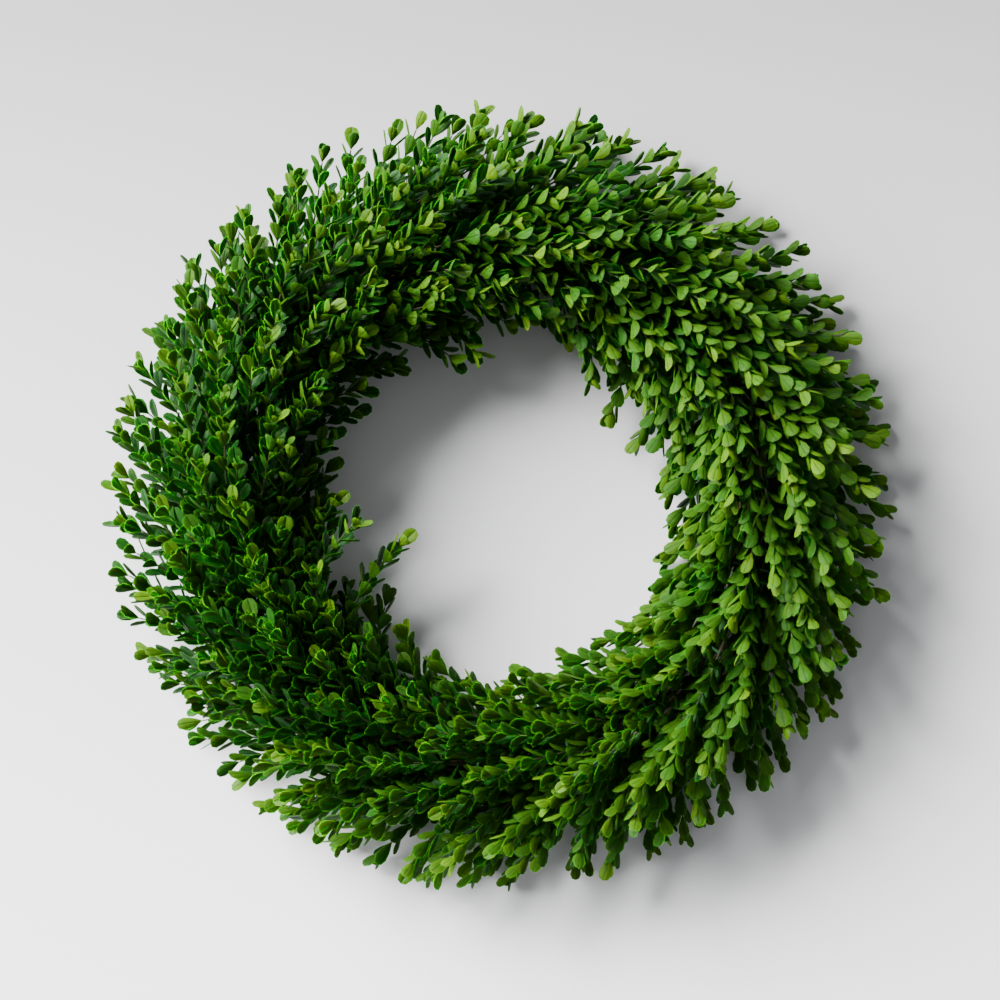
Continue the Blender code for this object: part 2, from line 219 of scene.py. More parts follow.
def enamel_finish():
    """Dipped enamel: slightly uneven gloss and tone, and worn spots of steel."""
    material, tree, shader = new_material("green_wire_enamel")
    place = add(tree, "ShaderNodeTexCoord").outputs["Object"]
    clouds = noise(tree, place, CLOUD_SCALE, 4)
    worn = ramp(tree, noise(tree, place, WEAR_SCALE, 5), *WORN_ABOVE, 0, 1)
    lighter = tuple(part * ENAMEL_LIGHTER for part in ENAMEL)
    colour = mixed(tree, worn, mixed(tree, clouds, ENAMEL, lighter), WORN_STEEL)
    tree.links.new(colour, shader.inputs["Base Color"])
    tree.links.new(ramp(tree, clouds, 0.3, 0.7, *ENAMEL_GLOSS), shader.inputs["Roughness"])
    tree.links.new(calc(tree, "MULTIPLY", worn, 0.8), shader.inputs["Metallic"])
    relieve(tree, shader, calc(tree, "SUBTRACT", clouds, worn), 0.5, ENAMEL_RELIEF)
    return material


def rail_line(offset):
    """A rail's ring, closed on its first point."""
    turns = [i * math.tau / RAIL_POINTS for i in range(RAIL_POINTS)]
    line = [ring_point(turn, offset, RAIL_WIRE) for turn in turns]
    return line + line[:1]


def clamp_line(station):
    """A clamp arch from the outer rail over the waist of its bunches to the inner rail."""
    angle = station_angle(station, CLAMP_SHARE)
    across = BUNDLE_ACROSS * WAIST + CLAMP_RISE
    up = BUNDLE_UP * WAIST + CLAMP_RISE
    foot = RAIL_WIRE * CLAMP_FOOT
    line = [ring_point(angle, RAIL_OFFSET, foot)]
    for wide, high in CLAMP_CORNERS:
        corner = ring_point(angle, wide * across, BUNDLE_HEIGHT + high * up)
        line += [corner, corner]
    line.append(ring_point(angle, -RAIL_OFFSET, foot))
    return line


bent_wire = wire_tree()
enamel = enamel_finish()
rails = [rail_line(RAIL_OFFSET), rail_line(-RAIL_OFFSET)]
clamps = [clamp_line(station) for station in range(STATIONS)]
for name, lines, radius, points in (
    ("frame_rails", rails, RAIL_WIRE, RAIL_POINTS),
    ("frame_clamps", clamps, CLAMP_WIRE, CLAMP_POINTS),
):
    wire = grown(name, lines, bent_wire, {
        "Wire radius": radius, "Points": points, "Bead radius": WELD_RADIUS, "Finish": enamel,
    })
    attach(wire, "root")
    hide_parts("wire_frame")


# A box leaf is a small leathery spoon with a shallow fold along its midrib, a dark waxy upper
# side, a paler and duller lower side and a thin pale rim, partly painted highlight where the rim
# catches the light. The sprigs are preserved, so the leaves keep their form, and only their tone
# differs from leaf to leaf.
LEAF_LENGTH = 0.0192
LEAF_HALF_WIDTH = 0.0052
# From the stalk to the tip: share of the length, share of the half width there, and rise of
# each half over its width
LEAF_OUTLINE = ((0.13, 0.22, 0.34), (0.42, 0.78, 0.26), (0.71, 1.0, 0.20), (0.93, 0.68, 0.10))
LEAF_DOME = 0.10  # how far each half swells on the upper side
LEAF_PUFF = 0.14  # and on the lower side
LEAF_CUP = 0.06  # rise of the tip over the length
LEAF_BODY = 0.0004  # thickness at the midrib
UPPER_UV = 0.5  # the midrib's place across the leaf's map, on the upper side
LOWER_UV = 2.5  # and on the lower side
# The greens are deep, because light also passes through the leaves
DARK_GREEN = (0.0014, 0.036, 0.0020)
FRESH_GREEN = (0.0055, 0.058, 0.0018)
UNDER_DARK = (0.0080, 0.056, 0.0016)
UNDER_GREEN = (0.027, 0.082, 0.0008)
YOUNG_GREEN = (0.060, 0.126, 0.0006)
# The rim's pale green is partly its own and partly painted highlight along the edge
RIM_PALE_HIGHLIGHT = (0.030, 0.100, 0.002)
OLD_OLIVE = (0.030, 0.034, 0.005)
FRESH_SHARE = 0.75  # how far the brightest tone turns a leaf fresh
MOTTLE_SHARE = 0.3  # and how far its mottles do
MOTTLE_SCALE = 260
GRAIN_SCALE = 1900
YOUNG_FROM = 0.88  # share of the sprig where its leaves turn young
YOUNG_TINT = 0.85
OLD_BELOW = 0.1  # tone of the few old leaves
OLD_TINT = 0.8
VEIN_COUNT = 9.0  # along the leaf
VEIN_SLANT = 2.6  # how many of them one runs past on its way to the rim
VEIN_TINT = 0.08
# The midrib's dark line is painted shade, where shade falls in its crease
RIB_EDGE = (0.03, 0.14)  # in half widths from the midrib
RIB_CREASE_SHADE = 0.7
RIM_EDGE = (0.87, 0.95)  # and of the rim
RIM_TIP = (0.955, 0.99)  # share of the length where the rim closes
RIM_HIGHLIGHT_SHARE = 0.15
GLOSS = (0.40, 0.54)  # roughness of the wax above
LOWER_DULLER = 0.14
LEAF_RELIEF = 0.00025
WAX_LEVEL = 0.10  # reflection of the wax
SCATTER_WEIGHT = 0.8  # light that passes through
SCATTER_COLOURS = (0.25, 1.0, 0.08)
SCATTER_DEPTH = 0.002


def leaf_spine(share):
    """Height of the midrib, which rises towards the tip."""
    return LEAF_LENGTH * LEAF_CUP * share * share


def box_leaf():
    """One leaf along +Y with its upper side up, closed, and mapped for its veins."""
    bm = bmesh.new()
    uv = bm.loops.layers.uv.new("leaf")
    maps = {}

    def corner(share, side, half, height):
        """A corner at a share of the length, to one side of the midrib, so far over it."""
        vert = bm.verts.new((side * half, share * LEAF_LENGTH, leaf_spine(share) + height))
        maps[vert] = (side, share)
        return vert

    stalk = corner(0, 0, 0, 0)
    tip = corner(1, 0, 0, 0)
    uppers, lowers = [], []
    for share, width, fold in LEAF_OUTLINE:
        half = width * LEAF_HALF_WIDTH
        dome = half * (fold / 2 + LEAF_DOME)
        puff = half * (fold / 2 - LEAF_PUFF) - LEAF_BODY
        rims = [corner(share, side, half, half * fold) for side in (-1, 1)]
        domes = [corner(share, side / 2, half, dome) for side in (-1, 1)]
        puffs = [corner(share, side / 2, half, puff) for side in (-1, 1)]
        rib, keel = corner(share, 0, half, 0), corner(share, 0, half, -LEAF_BODY)
        uppers.append([rims[0], domes[0], rib, domes[1], rims[1]])
        lowers.append([rims[1], puffs[1], keel, puffs[0], rims[0]])
    for rows, centre in ((uppers, UPPER_UV), (lowers, LOWER_UV)):
        faces = []
        for low, high in zip(rows, rows[1:]):
            pairs = zip(zip(low, low[1:]), zip(high, high[1:]))
            faces += [(a, b, d, c) for (a, b), (c, d) in pairs]
        faces += [(stalk, b, a) for a, b in zip(rows[0], rows[0][1:])]
        faces += [(tip, a, b) for a, b in zip(rows[-1], rows[-1][1:])]
        for verts in faces:
            face = bm.faces.new(verts)
            face.smooth = True
            for loop in face.loops:
                side, share = maps[loop.vert]
                loop[uv].uv = (centre + side / 2, share)
    bmesh.ops.recalc_face_normals(bm, faces=bm.faces)
    for edge in bm.edges:
        sides = {maps[vert][0] for vert in edge.verts if vert not in (stalk, tip)}
        edge.smooth = sides not in ({-1}, {0}, {1})
    mesh = bpy.data.meshes.new("box_leaf")
    bm.to_mesh(mesh)
    bm.free()
    return bpy.data.objects.new("box_leaf", mesh)


def leaf_finish():
    """Waxy leaf: tone from leaf to leaf, young tips, veins, painted shade in the midrib's crease,
    and a pale rim that is partly a painted highlight.
    """
    material, tree, shader = new_material("box_leaf")
    uv = add(tree, "ShaderNodeUVMap", uv_map="leaf").outputs[0]
    across, along, _ = add(tree, "ShaderNodeSeparateXYZ", {0: uv}).outputs
    lower = calc(tree, "GREATER_THAN", across, 1.5)
    off_rib = calc(tree, "SUBTRACT", calc(tree, "FRACT", across), 0.5)
    off_rib = calc(tree, "MULTIPLY", calc(tree, "ABSOLUTE", off_rib), 2.0)
    tone = add(tree, "ShaderNodeAttribute", attribute_name="tone").outputs["Fac"]
    youth = add(tree, "ShaderNodeAttribute", attribute_name="youth").outputs["Fac"]
    place = add(tree, "ShaderNodeTexCoord").outputs["Object"]
    mottle = noise(tree, place, MOTTLE_SCALE, 4)
    grain = noise(tree, place, GRAIN_SCALE, 2)

    body = mixed(tree, calc(tree, "MULTIPLY", tone, FRESH_SHARE), DARK_GREEN, FRESH_GREEN)
    body = mixed(tree, ramp(tree, mottle, 0.35, 0.7, 0, MOTTLE_SHARE), body, FRESH_GREEN)
    paler = ramp(tree, calc(tree, "MULTIPLY_ADD", youth, 0.5, tone), 0.5, 1.25, 0, 1)
    under = mixed(tree, paler, UNDER_DARK, UNDER_GREEN)
    body = mixed(tree, lower, body, under)
    bright = ramp(tree, tone, 0.3, 0.8, 0.05, 1)
    young = calc(tree, "MULTIPLY", ramp(tree, youth, YOUNG_FROM, 1.0, 0, 1), bright)
    body = mixed(tree, calc(tree, "MULTIPLY", young, YOUNG_TINT), body, YOUNG_GREEN)
    dull = calc(tree, "LESS_THAN", tone, OLD_BELOW)
    old = calc(tree, "MULTIPLY", dull, ramp(tree, youth, 0.5, 0.2, 0, 1))
    body = mixed(tree, calc(tree, "MULTIPLY", old, OLD_TINT), body, OLD_OLIVE)

    slant = calc(tree, "MULTIPLY", off_rib, VEIN_SLANT)
    slant = calc(tree, "SUBTRACT", calc(tree, "MULTIPLY", along, VEIN_COUNT), slant)
    veins = calc(tree, "SINE", calc(tree, "MULTIPLY", slant, math.tau))
    veins = ramp(tree, veins, 0.55, 1.0, 0, 1)
    rib = ramp(tree, off_rib, *RIB_EDGE, 1, 0)
    rim_highlight_side = ramp(tree, off_rib, *RIM_EDGE, 0, 1)
    rim = calc(tree, "MAXIMUM", rim_highlight_side, ramp(tree, along, *RIM_TIP, 0, 1))
    body = mixed(tree, calc(tree, "MULTIPLY", veins, VEIN_TINT), body, YOUNG_GREEN)
    # Painted shade: the midrib is darkened on both sides, where shade falls in its crease
    body = mixed(tree, calc(tree, "MULTIPLY", rib, RIB_CREASE_SHADE), body, DARK_GREEN)
    # Painted highlight: the rim is lightened, partly for the light that its edge catches
    body = mixed(tree, calc(tree, "MULTIPLY", rim, RIM_HIGHLIGHT_SHARE), body, RIM_PALE_HIGHLIGHT)
    tree.links.new(body, shader.inputs["Base Color"])

    duller = calc(tree, "MULTIPLY", lower, LOWER_DULLER)
    gloss = calc(tree, "ADD", ramp(tree, mottle, 0.3, 0.7, *GLOSS), duller)
    tree.links.new(gloss, shader.inputs["Roughness"])
    shader.inputs["Specular IOR Level"].default_value = WAX_LEVEL
    shader.inputs["Subsurface Weight"].default_value = SCATTER_WEIGHT
    shader.inputs["Subsurface Radius"].default_value = SCATTER_COLOURS
    shader.inputs["Subsurface Scale"].default_value = SCATTER_DEPTH
    sunk = calc(tree, "MULTIPLY", veins, 0.4)
    relief = calc(tree, "SUBTRACT", calc(tree, "MULTIPLY", grain, 0.35), sunk)
    relief = calc(tree, "SUBTRACT", relief, rib)
    relieve(tree, shader, relief, 0.6, LEAF_RELIEF)
    return material


# The sprigs are shoots of box, 6 to 19 cm long and 12 on average, with a woody green stem and
# pairs of leaves that each stand across the pair below. A bunch is 10 to 15 sprigs held down by
# a clamp. It fans out clockwise over the bunch ahead of it, away from the ring on every side.
TIP_OUT = 0.074  # leading tips from the bundle's centre: away from the hole,
TIP_IN = 0.058  # towards it,
TIP_UP = 0.062  # and up
FILL_OUT = 1.08  # how far the others stand out on the first two sides, as a share of that
FILL_IN = 1.02
LOW_BELOW = -0.3  # sine of the section angle, under which a sprig lies along the table
SIDE_DOWN = 0.060  # tips of such sprigs from the bundle's centre: to a side,
TIP_DOWN = 0.0225  # and down
LIFT_CURVE = 1.0  # how late a stem bends away from the ring
# Hung up, the sprigs stand out from the wall where they point up, on the upper left, and hang
# close to it where they point down
FLOP_TURN = 150  # degrees round the ring
FLOP_PLACE = 1.3  # where it is read for a bunch, as a share of its station
FLOP_CURVE = 0.15
FLOP_DRIFT = 13  # degrees round the section
OUTER_CURVE = 0.5  # how much later a sprig on the rim bends away
SLOWING = (0.32, 0.60)  # how it turns from along the ring to away from it
LOW_DRAW = 0.22  # share by which the lower side of the ring draws its inner sprigs together
# The leading sprigs of a station reach furthest, and stand evenly round the section
LEADING_SEED = 21000
LEADING = 6
SECTION_ENDS = (-8, 188)  # degrees round the section
SECTION_STRAY = 6
ROOT_SHARES = (0.34, 0.62, 0.48)  # of the station, where they are bound
ROOT_STRAY = 0.05
REACHES = (0.064, 0.086, 0.075)  # along the ring
REACH_STRAY = 0.005
ROOT_SINK = 0.62  # how far from the bundle's centre, as a share of its size
LEADING_LIFTS = (0.92, 1.06)
LEADING_DRIFTS = (-20, -4)
# The filling sprigs stand among them
BUNCH_SEED = 500
SHARE_STEP = 0.618  # of a station, from one to the next
ROW_STEP = 0.33  # and how many such steps a row is ahead of the last
FILLING_ROOTS = (0.35, 0.75)  # how far from the bundle's centre they are bound
FILLING_DRIFTS = (-8, 2)
SWAY = 0.02  # how far a tip strays along the ring, in radians
PLACE_STRAY = (0.1, 0.9)  # where a sprig stands in its own part of the row
LOW_STRAY = 8  # degrees round the section
# How far their tips stand out, as a share of the leading ones', and their reach along the ring
FULL_LENGTH = ((0.91, 1.00), (0.050, 0.080))
HALF_LENGTH = ((0.52, 0.80), (0.045, 0.065))
LOW_LENGTH = ((0.75, 1.0), (0.05, 0.07))
STRAY_REACHES = (0.045, 0.055)
# Station, section angle and tip distance of stray sprigs that stand into the hole
STRAYS = (
    (11.4, 172, 1.90), (12.1, 160, 1.52), (10.6, 184, 1.35), (12.6, 170, 1.15),
    (16.6, 178, 1.25), (16.1, 184, 1.2), (2.5, 172, 1.2), (1.7, 178, 1.3), (0.9, 170, 1.2),
)
# Row, section angles that it fills, how it crowds to the first of them, and its sprigs in full
# length, half length and low down
ROWS = (
    ("outer", (-18, 62), 1.5, 8, 3, (-60, -36)),
    ("face", (44, 136), 1, 6, 2, ()),
    ("inner", (118, 198), 1, 4, 2, (212, 238)),
)
BOUND_SHARE = 0.42  # length of stem bound under the clamp, as a share of the free stem
LAST_SHARE = 1.10  # where the last pair of leaves grows
STEM_POINTS = 12
STEM_SIDES = 5
STEM_RADII = (0.0014, 0.0005)
STEM_FLOOR = 0.009  # a sprig that would reach lower lies along the table
PRESSED = 0.03  # and its lowest leaves are pressed flat there
PRESSED_FROM = 0.0012
FLOOR_ROOM = 0.006  # how high over the table a leaf's tip is kept
LEAF_SPACING = 0.0090
PACES = (0.9, 1.12)  # of that spacing, from sprig to sprig
BARE_SHARE = 0.27  # of the stem
LEAF_TILTS = ((40, 6), (26, 5))  # degrees at a stem's root and tip, and more on the upper left
LEAN_TO_LIGHT = 0.10
LEAN_LOSS = 0.37  # where sprigs hang close to the wall
TURN_STRAY = 0.28  # radians about the stem
TILT_STRAY = 0.16
LEAN_STRAY = 0.3
LEAF_SIZES = (0.84, 1.12)
LEAF_WIDTHS = (0.88, 1.10)
LEAF_DEPTHS = (0.6, 1.3)
LEAF_SEEDS = 100  # seeds that each bunch has to itself
BUD_CLOSER = 0.5  # how much closer to the stem's line the two buds at a tip stand
BUD_SMALLER = 0.34
TIP_SIZE = 0.90  # of the last leaves
SPRIG_TONES = (0.0, 0.45)
LEAF_TONES = (0.0, 0.55)
BARK_GREEN = (0.022, 0.050, 0.009)
BARK_BROWN = (0.040, 0.028, 0.012)
BARK_RIDGE = (0.09, 0.07, 0.035)
PATCH_SCALE = 55
RIDGE_SCALE = 900
BARK_RELIEF = 0.0003


def ellipse_reach(section, across, up):
    """Distance from the centre to an ellipse in the direction of a section angle."""
    return 1 / math.hypot(math.cos(section) / across, math.sin(section) / up)


def flop_at(angle):
    """How far sprigs stand out there: 1 on the upper left, and -1 on the lower right."""
    return math.cos(angle - math.radians(FLOP_TURN))


def sprig_line(station, share, section, reach, root_lift, tip_lift, drift, sway=0.0):
    """A stem's points, from where it is bound to its last pair of leaves."""
    first = station_angle(station, share)
    flop = flop_at(first - reach / RING_RADIUS)
    curve = LIFT_CURVE + FLOP_CURVE * flop * math.sin(section) ** 2
    rim = max(0.0, math.cos(section))
    curve += OUTER_CURVE * rim
    slowing = rim * (SLOWING[0] + (SLOWING[1] - SLOWING[0]) * (1 - flop) / 2)
    drift += math.radians(FLOP_DRIFT) * flop * math.cos(section)
    line = []
    for i in range(STEM_POINTS):
        along = -BOUND_SHARE + (LAST_SHARE + BOUND_SHARE) * i / (STEM_POINTS - 1)
        ahead = along * (1 + slowing * (1 - max(along, 0.0)))
        angle = first - reach * ahead / RING_RADIUS + sway * max(along, 0.0) ** 2
        lift = root_lift + (tip_lift - root_lift) * max(along, 0.0) ** curve
        turned = section + drift * along
        height = max(BUNDLE_HEIGHT + lift * math.sin(turned), STEM_FLOOR)
        line.append(ring_point(angle, lift * math.cos(turned), height))
    return line


def tip_ellipse(section):
    """How far the tips stand from the bundle's centre in the direction of a section angle."""
    if math.sin(section) < LOW_BELOW:
        return ellipse_reach(section, SIDE_DOWN, TIP_DOWN)
    across = TIP_OUT if math.cos(section) > 0 else TIP_IN
    return ellipse_reach(section, across, TIP_UP)


def leading_sprig(station, index):
    """One of the outermost sprigs of a station."""
    rng = random.Random(LEADING_SEED + station * LEADING + index)
    first, last = SECTION_ENDS
    section = first + (last - first) / (LEADING - 1) * index
    section = math.radians(section + rng.uniform(-SECTION_STRAY, SECTION_STRAY))
    turn = (index + station) % len(REACHES)
    share = ROOT_SHARES[turn] + rng.uniform(-ROOT_STRAY, ROOT_STRAY)
    reach = REACHES[turn] + rng.uniform(-REACH_STRAY, REACH_STRAY)
    root_lift = ellipse_reach(section, BUNDLE_ACROSS, BUNDLE_UP) * ROOT_SINK
    tip_lift = tip_ellipse(section) * rng.uniform(*LEADING_LIFTS)
    drift = math.radians(rng.uniform(*LEADING_DRIFTS)) * index / (LEADING - 1)
    return sprig_line(station, share, section, reach, root_lift, tip_lift, drift)


def filling_sprig(station, order, degrees, lifts, reaches, rng):
    """A sprig that fills the bunch between the outermost ones."""
    section = math.radians(degrees)
    reach = rng.uniform(*reaches)
    share = (order * SHARE_STEP) % 1 + rng.uniform(-ROOT_STRAY, ROOT_STRAY)
    share += (sum(reaches) / 2 - reach) / RING_RADIUS / math.tau * STATIONS
    root_lift = ellipse_reach(section, BUNDLE_ACROSS, BUNDLE_UP) * rng.uniform(*FILLING_ROOTS)
    spread = FILL_OUT if math.cos(section) > 0 else FILL_IN
    spread = 1 + (spread - 1) * math.cos(section) ** 2
    low = max(0.0, -math.sin(station_angle(station, share) - reach / RING_RADIUS))
    spread -= LOW_DRAW * low * max(0.0, -math.cos(section))
    tip_lift = max(tip_ellipse(section) * spread * rng.uniform(*lifts), root_lift)
    drift = math.radians(rng.uniform(*FILLING_DRIFTS)) * max(0.0, math.sin(section))
    sway = rng.uniform(-SWAY, SWAY)
    return sprig_line(station, share, section, reach, root_lift, tip_lift, drift, sway)


def bunch_lines(station, row):
    """The stems of one bunch."""
    rng = random.Random(BUNCH_SEED + station * len(ROWS) + row)
    name, (low, high), crowd, full, half, down = ROWS[row]
    lines = [leading_sprig(station, index) for index in (2 * row, 2 * row + 1)]
    order = row * ROW_STEP
    for count, (lifts, reaches) in ((full, FULL_LENGTH), (half, HALF_LENGTH)):
        for i in range(count):
            part = (i + rng.uniform(*PLACE_STRAY)) / count
            degrees = low + (high - low) * part ** crowd
            order += 1
            lines.append(filling_sprig(station, order, degrees, lifts, reaches, rng))
    for degrees in down:
        order += 1
        degrees += rng.uniform(-LOW_STRAY, LOW_STRAY)
        lines.append(filling_sprig(station, order, degrees, *LOW_LENGTH, rng))
    for place, degrees, far in STRAYS:
        if name == "inner" and int(place) == station:
            lines.append(filling_sprig(place, 0, degrees, (far, far), STRAY_REACHES, rng))
    return lines


def carried(tree, geometry, domain, fields):
    """Geometry that carries fields along, and the same fields as they are read from it."""
    node = add(tree, "GeometryNodeCaptureAttribute", {"Geometry": geometry}, domain=domain)
    for name, field in fields.items():
        node.capture_items.new("VECTOR" if field.type == "VECTOR" else "FLOAT", name)
        tree.links.new(field, node.inputs[name])
    return node.outputs


def vector(tree, operation, first, second):
    """The vector that a Vector Math node gives. A number that scales one is its fourth input."""
    key = 3 if operation == "SCALE" else 1
    inputs = {0: first, key: second}
    return add(tree, "ShaderNodeVectorMath", inputs, operation=operation).outputs[0]


def bunch_tree():
    """Box sprigs along lines: a tapered stem each, and pairs of leaves that turn about it."""
    tree, given, result = new_tree("box bunch", {
        "Leaf": "Object", "Leaf size": "Float", "Leaf spacing": "Float",
        "Lower tilt": "Float", "Upper tilt": "Float", "Bare share": "Float",
        "Lean to light": "Float", "Floor room": "Float",
        "Root radius": "Float", "Tip radius": "Float", "Seed": "Int",
        "Leaf finish": "Material", "Stem finish": "Material",
    })
    seeds = iter(range(1, 40))

    def chance(low, high):
        """A random number between two, from a seed of its own."""
        seed = calc(tree, "ADD", given["Seed"], next(seeds))
        inputs = {2: low, 3: high, "Seed": seed}
        return add(tree, "FunctionNodeRandomValue", inputs, data_type="FLOAT").outputs[1]

    lines = add(tree, "GeometryNodeMeshToCurve", {0: given["Geometry"]}).outputs[0]
    stems = carried(tree, lines, "CURVE", {
        "roll": chance(0.0, math.tau), "pace": chance(*PACES), "tone": chance(*SPRIG_TONES),
    })
    spacing = calc(tree, "MULTIPLY", given["Leaf spacing"], stems["pace"])
    pairs = add(tree, "GeometryNodeResampleCurve", {
        "Curve": stems["Geometry"], "Length": spacing,
    }, mode="LENGTH").outputs[0]
    spline = add(tree, "GeometryNodeSplineParameter").outputs
    pairs = carried(tree, pairs, "POINT", {
        "share": spline["Factor"],
        "number": spline["Index"],
        "along": add(tree, "GeometryNodeInputTangent").outputs[0],
        "out": add(tree, "GeometryNodeInputNormal").outputs[0],
    })
    share = pairs["share"]
    points = add(tree, "GeometryNodeCurveToPoints", {
        "Curve": pairs["Geometry"],
    }, mode="EVALUATED").outputs["Points"]
    last = calc(tree, "GREATER_THAN", share, 0.999)
    leaves = add(tree, "GeometryNodeDuplicateElements", {
        "Geometry": points, "Amount": calc(tree, "MULTIPLY_ADD", last, 2.0, 2.0),
    }, domain="POINT").outputs
    which = leaves["Duplicate Index"]
    bud = calc(tree, "GREATER_THAN", which, 1.5)

    turn = calc(tree, "MULTIPLY_ADD", pairs["number"], math.pi / 2, stems["roll"])
    turn = calc(tree, "MULTIPLY_ADD", which, math.pi, turn)
    turn = calc(tree, "MULTIPLY_ADD", bud, math.pi / 2, turn)
    turn = calc(tree, "ADD", turn, chance(-TURN_STRAY, TURN_STRAY))
    side = add(tree, "ShaderNodeVectorRotate", {
        "Vector": pairs["out"], "Axis": pairs["along"], "Angle": turn,
    }, rotation_type="AXIS_ANGLE").outputs[0]
    tilt = ramp(tree, share, 0.25, 1.0, given["Lower tilt"], given["Upper tilt"])
    tilt = calc(tree, "MULTIPLY", tilt, calc(tree, "MULTIPLY_ADD", bud, -BUD_CLOSER, 1.0))
    tilt = calc(tree, "ADD", tilt, chance(-TILT_STRAY, TILT_STRAY))
    sine, cosine = calc(tree, "SINE", tilt), calc(tree, "COSINE", tilt)
    reach = vector(tree, "ADD", vector(tree, "SCALE", pairs["along"], cosine),
                   vector(tree, "SCALE", side, sine))
    x, y, z = add(tree, "ShaderNodeSeparateXYZ", {0: reach}).outputs
    position = add(tree, "GeometryNodeInputPosition").outputs[0]
    height = add(tree, "ShaderNodeSeparateXYZ", {0: position}).outputs[2]
    room = calc(tree, "DIVIDE", calc(tree, "SUBTRACT", given["Floor room"], height), LEAF_LENGTH)
    z = calc(tree, "MAXIMUM", z, room)
    reach = add(tree, "ShaderNodeCombineXYZ", {0: x, 1: y, 2: z}).outputs[0]
    upper = vector(tree, "SUBTRACT", vector(tree, "SCALE", pairs["along"], sine),
                   vector(tree, "SCALE", side, cosine))
    to_light = add(tree, "ShaderNodeCombineXYZ", {
        0: chance(-LEAN_STRAY, LEAN_STRAY),
        1: chance(-LEAN_STRAY, LEAN_STRAY),
        2: given["Lean to light"],
    }).outputs[0]
    upper = vector(tree, "ADD", upper, to_light)
    lengthways = add(tree, "FunctionNodeAlignRotationToVector", {"Vector": reach}, axis="Y")
    rotation = add(tree, "FunctionNodeAlignRotationToVector", {
        "Rotation": lengthways.outputs[0], "Vector": upper,
    }, axis="Z", pivot_axis="Y").outputs[0]
    size = calc(tree, "MULTIPLY", given["Leaf size"], chance(*LEAF_SIZES))
    size = calc(tree, "MULTIPLY", size, calc(tree, "MULTIPLY_ADD", bud, -BUD_SMALLER, 1.0))
    size = calc(tree, "MULTIPLY", size, ramp(tree, share, 0.8, 1.0, 1.0, TIP_SIZE))
    scale = add(tree, "ShaderNodeCombineXYZ", {
        0: calc(tree, "MULTIPLY", size, chance(*LEAF_WIDTHS)),
        1: size,
        2: calc(tree, "MULTIPLY", size, chance(*LEAF_DEPTHS)),
    }).outputs[0]

    placed = leaves["Geometry"]
    tone = calc(tree, "ADD", stems["tone"], chance(*LEAF_TONES))
    for name, field in (("tone", tone), ("youth", share)):
        placed = add(tree, "GeometryNodeStoreNamedAttribute", {
            "Geometry": placed, "Name": name, "Value": field,
        }, data_type="FLOAT", domain="POINT").outputs[0]
    leaf = add(tree, "GeometryNodeObjectInfo", {"Object": given["Leaf"]}).outputs["Geometry"]
    clad = add(tree, "GeometryNodeInstanceOnPoints", {
        "Points": placed, "Instance": leaf, "Rotation": rotation, "Scale": scale,
        "Selection": calc(tree, "GREATER_THAN", share, given["Bare share"]),
    }).outputs[0]
    clad = add(tree, "GeometryNodeRealizeInstances", {0: clad}).outputs[0]
    pressed = calc(tree, "MULTIPLY_ADD", height, PRESSED, PRESSED_FROM)
    lifted = calc(tree, "SUBTRACT", calc(tree, "MAXIMUM", height, pressed), height)
    lifted = add(tree, "ShaderNodeCombineXYZ", {2: lifted}).outputs[0]
    clad = add(tree, "GeometryNodeSetPosition", {"Geometry": clad, "Offset": lifted}).outputs[0]
    clad = add(tree, "GeometryNodeSetMaterial", {
        "Geometry": clad, "Material": given["Leaf finish"],
    }).outputs[0]

    wood = add(tree, "GeometryNodeResampleCurve", {
        "Curve": stems["Geometry"], "Count": STEM_POINTS,
    }, mode="COUNT").outputs[0]
    thin = ramp(tree, spline["Factor"], 0.0, 1.0, given["Root radius"], given["Tip radius"])
    circle = add(tree, "GeometryNodeCurvePrimitiveCircle", {
        "Resolution": STEM_SIDES, "Radius": 1.0,
    })
    wood = add(tree, "GeometryNodeCurveToMesh", {
        "Curve": wood, "Profile Curve": circle.outputs[0], "Scale": thin, "Fill Caps": True,
    }).outputs[0]
    wood = add(tree, "GeometryNodeRealizeInstances", {0: wood}).outputs[0]
    wood = add(tree, "GeometryNodeSetMaterial", {
        "Geometry": wood, "Material": given["Stem finish"],
    }).outputs[0]
    both = add(tree, "GeometryNodeJoinGeometry")
    for part in (wood, clad):
        tree.links.new(part, both.inputs[0])
    tree.links.new(both.outputs[0], result[0])
    return tree


def stem_finish():
    """Green young bark that turns brown and rougher in patches."""
    material, tree, shader = new_material("box_stem")
    place = add(tree, "ShaderNodeTexCoord").outputs["Object"]
    patches = noise(tree, place, PATCH_SCALE, 3)
    ridges = noise(tree, place, RIDGE_SCALE, 3)
    colour = mixed(tree, ramp(tree, patches, 0.42, 0.58, 0, 1), BARK_GREEN, BARK_BROWN)
    colour = mixed(tree, ramp(tree, ridges, 0.4, 0.7, 0, 0.5), colour, BARK_RIDGE)
    tree.links.new(colour, shader.inputs["Base Color"])
    tree.links.new(ramp(tree, ridges, 0.3, 0.7, 0.55, 0.8), shader.inputs["Roughness"])
    relieve(tree, shader, ridges, 0.7, BARK_RELIEF)
    return material


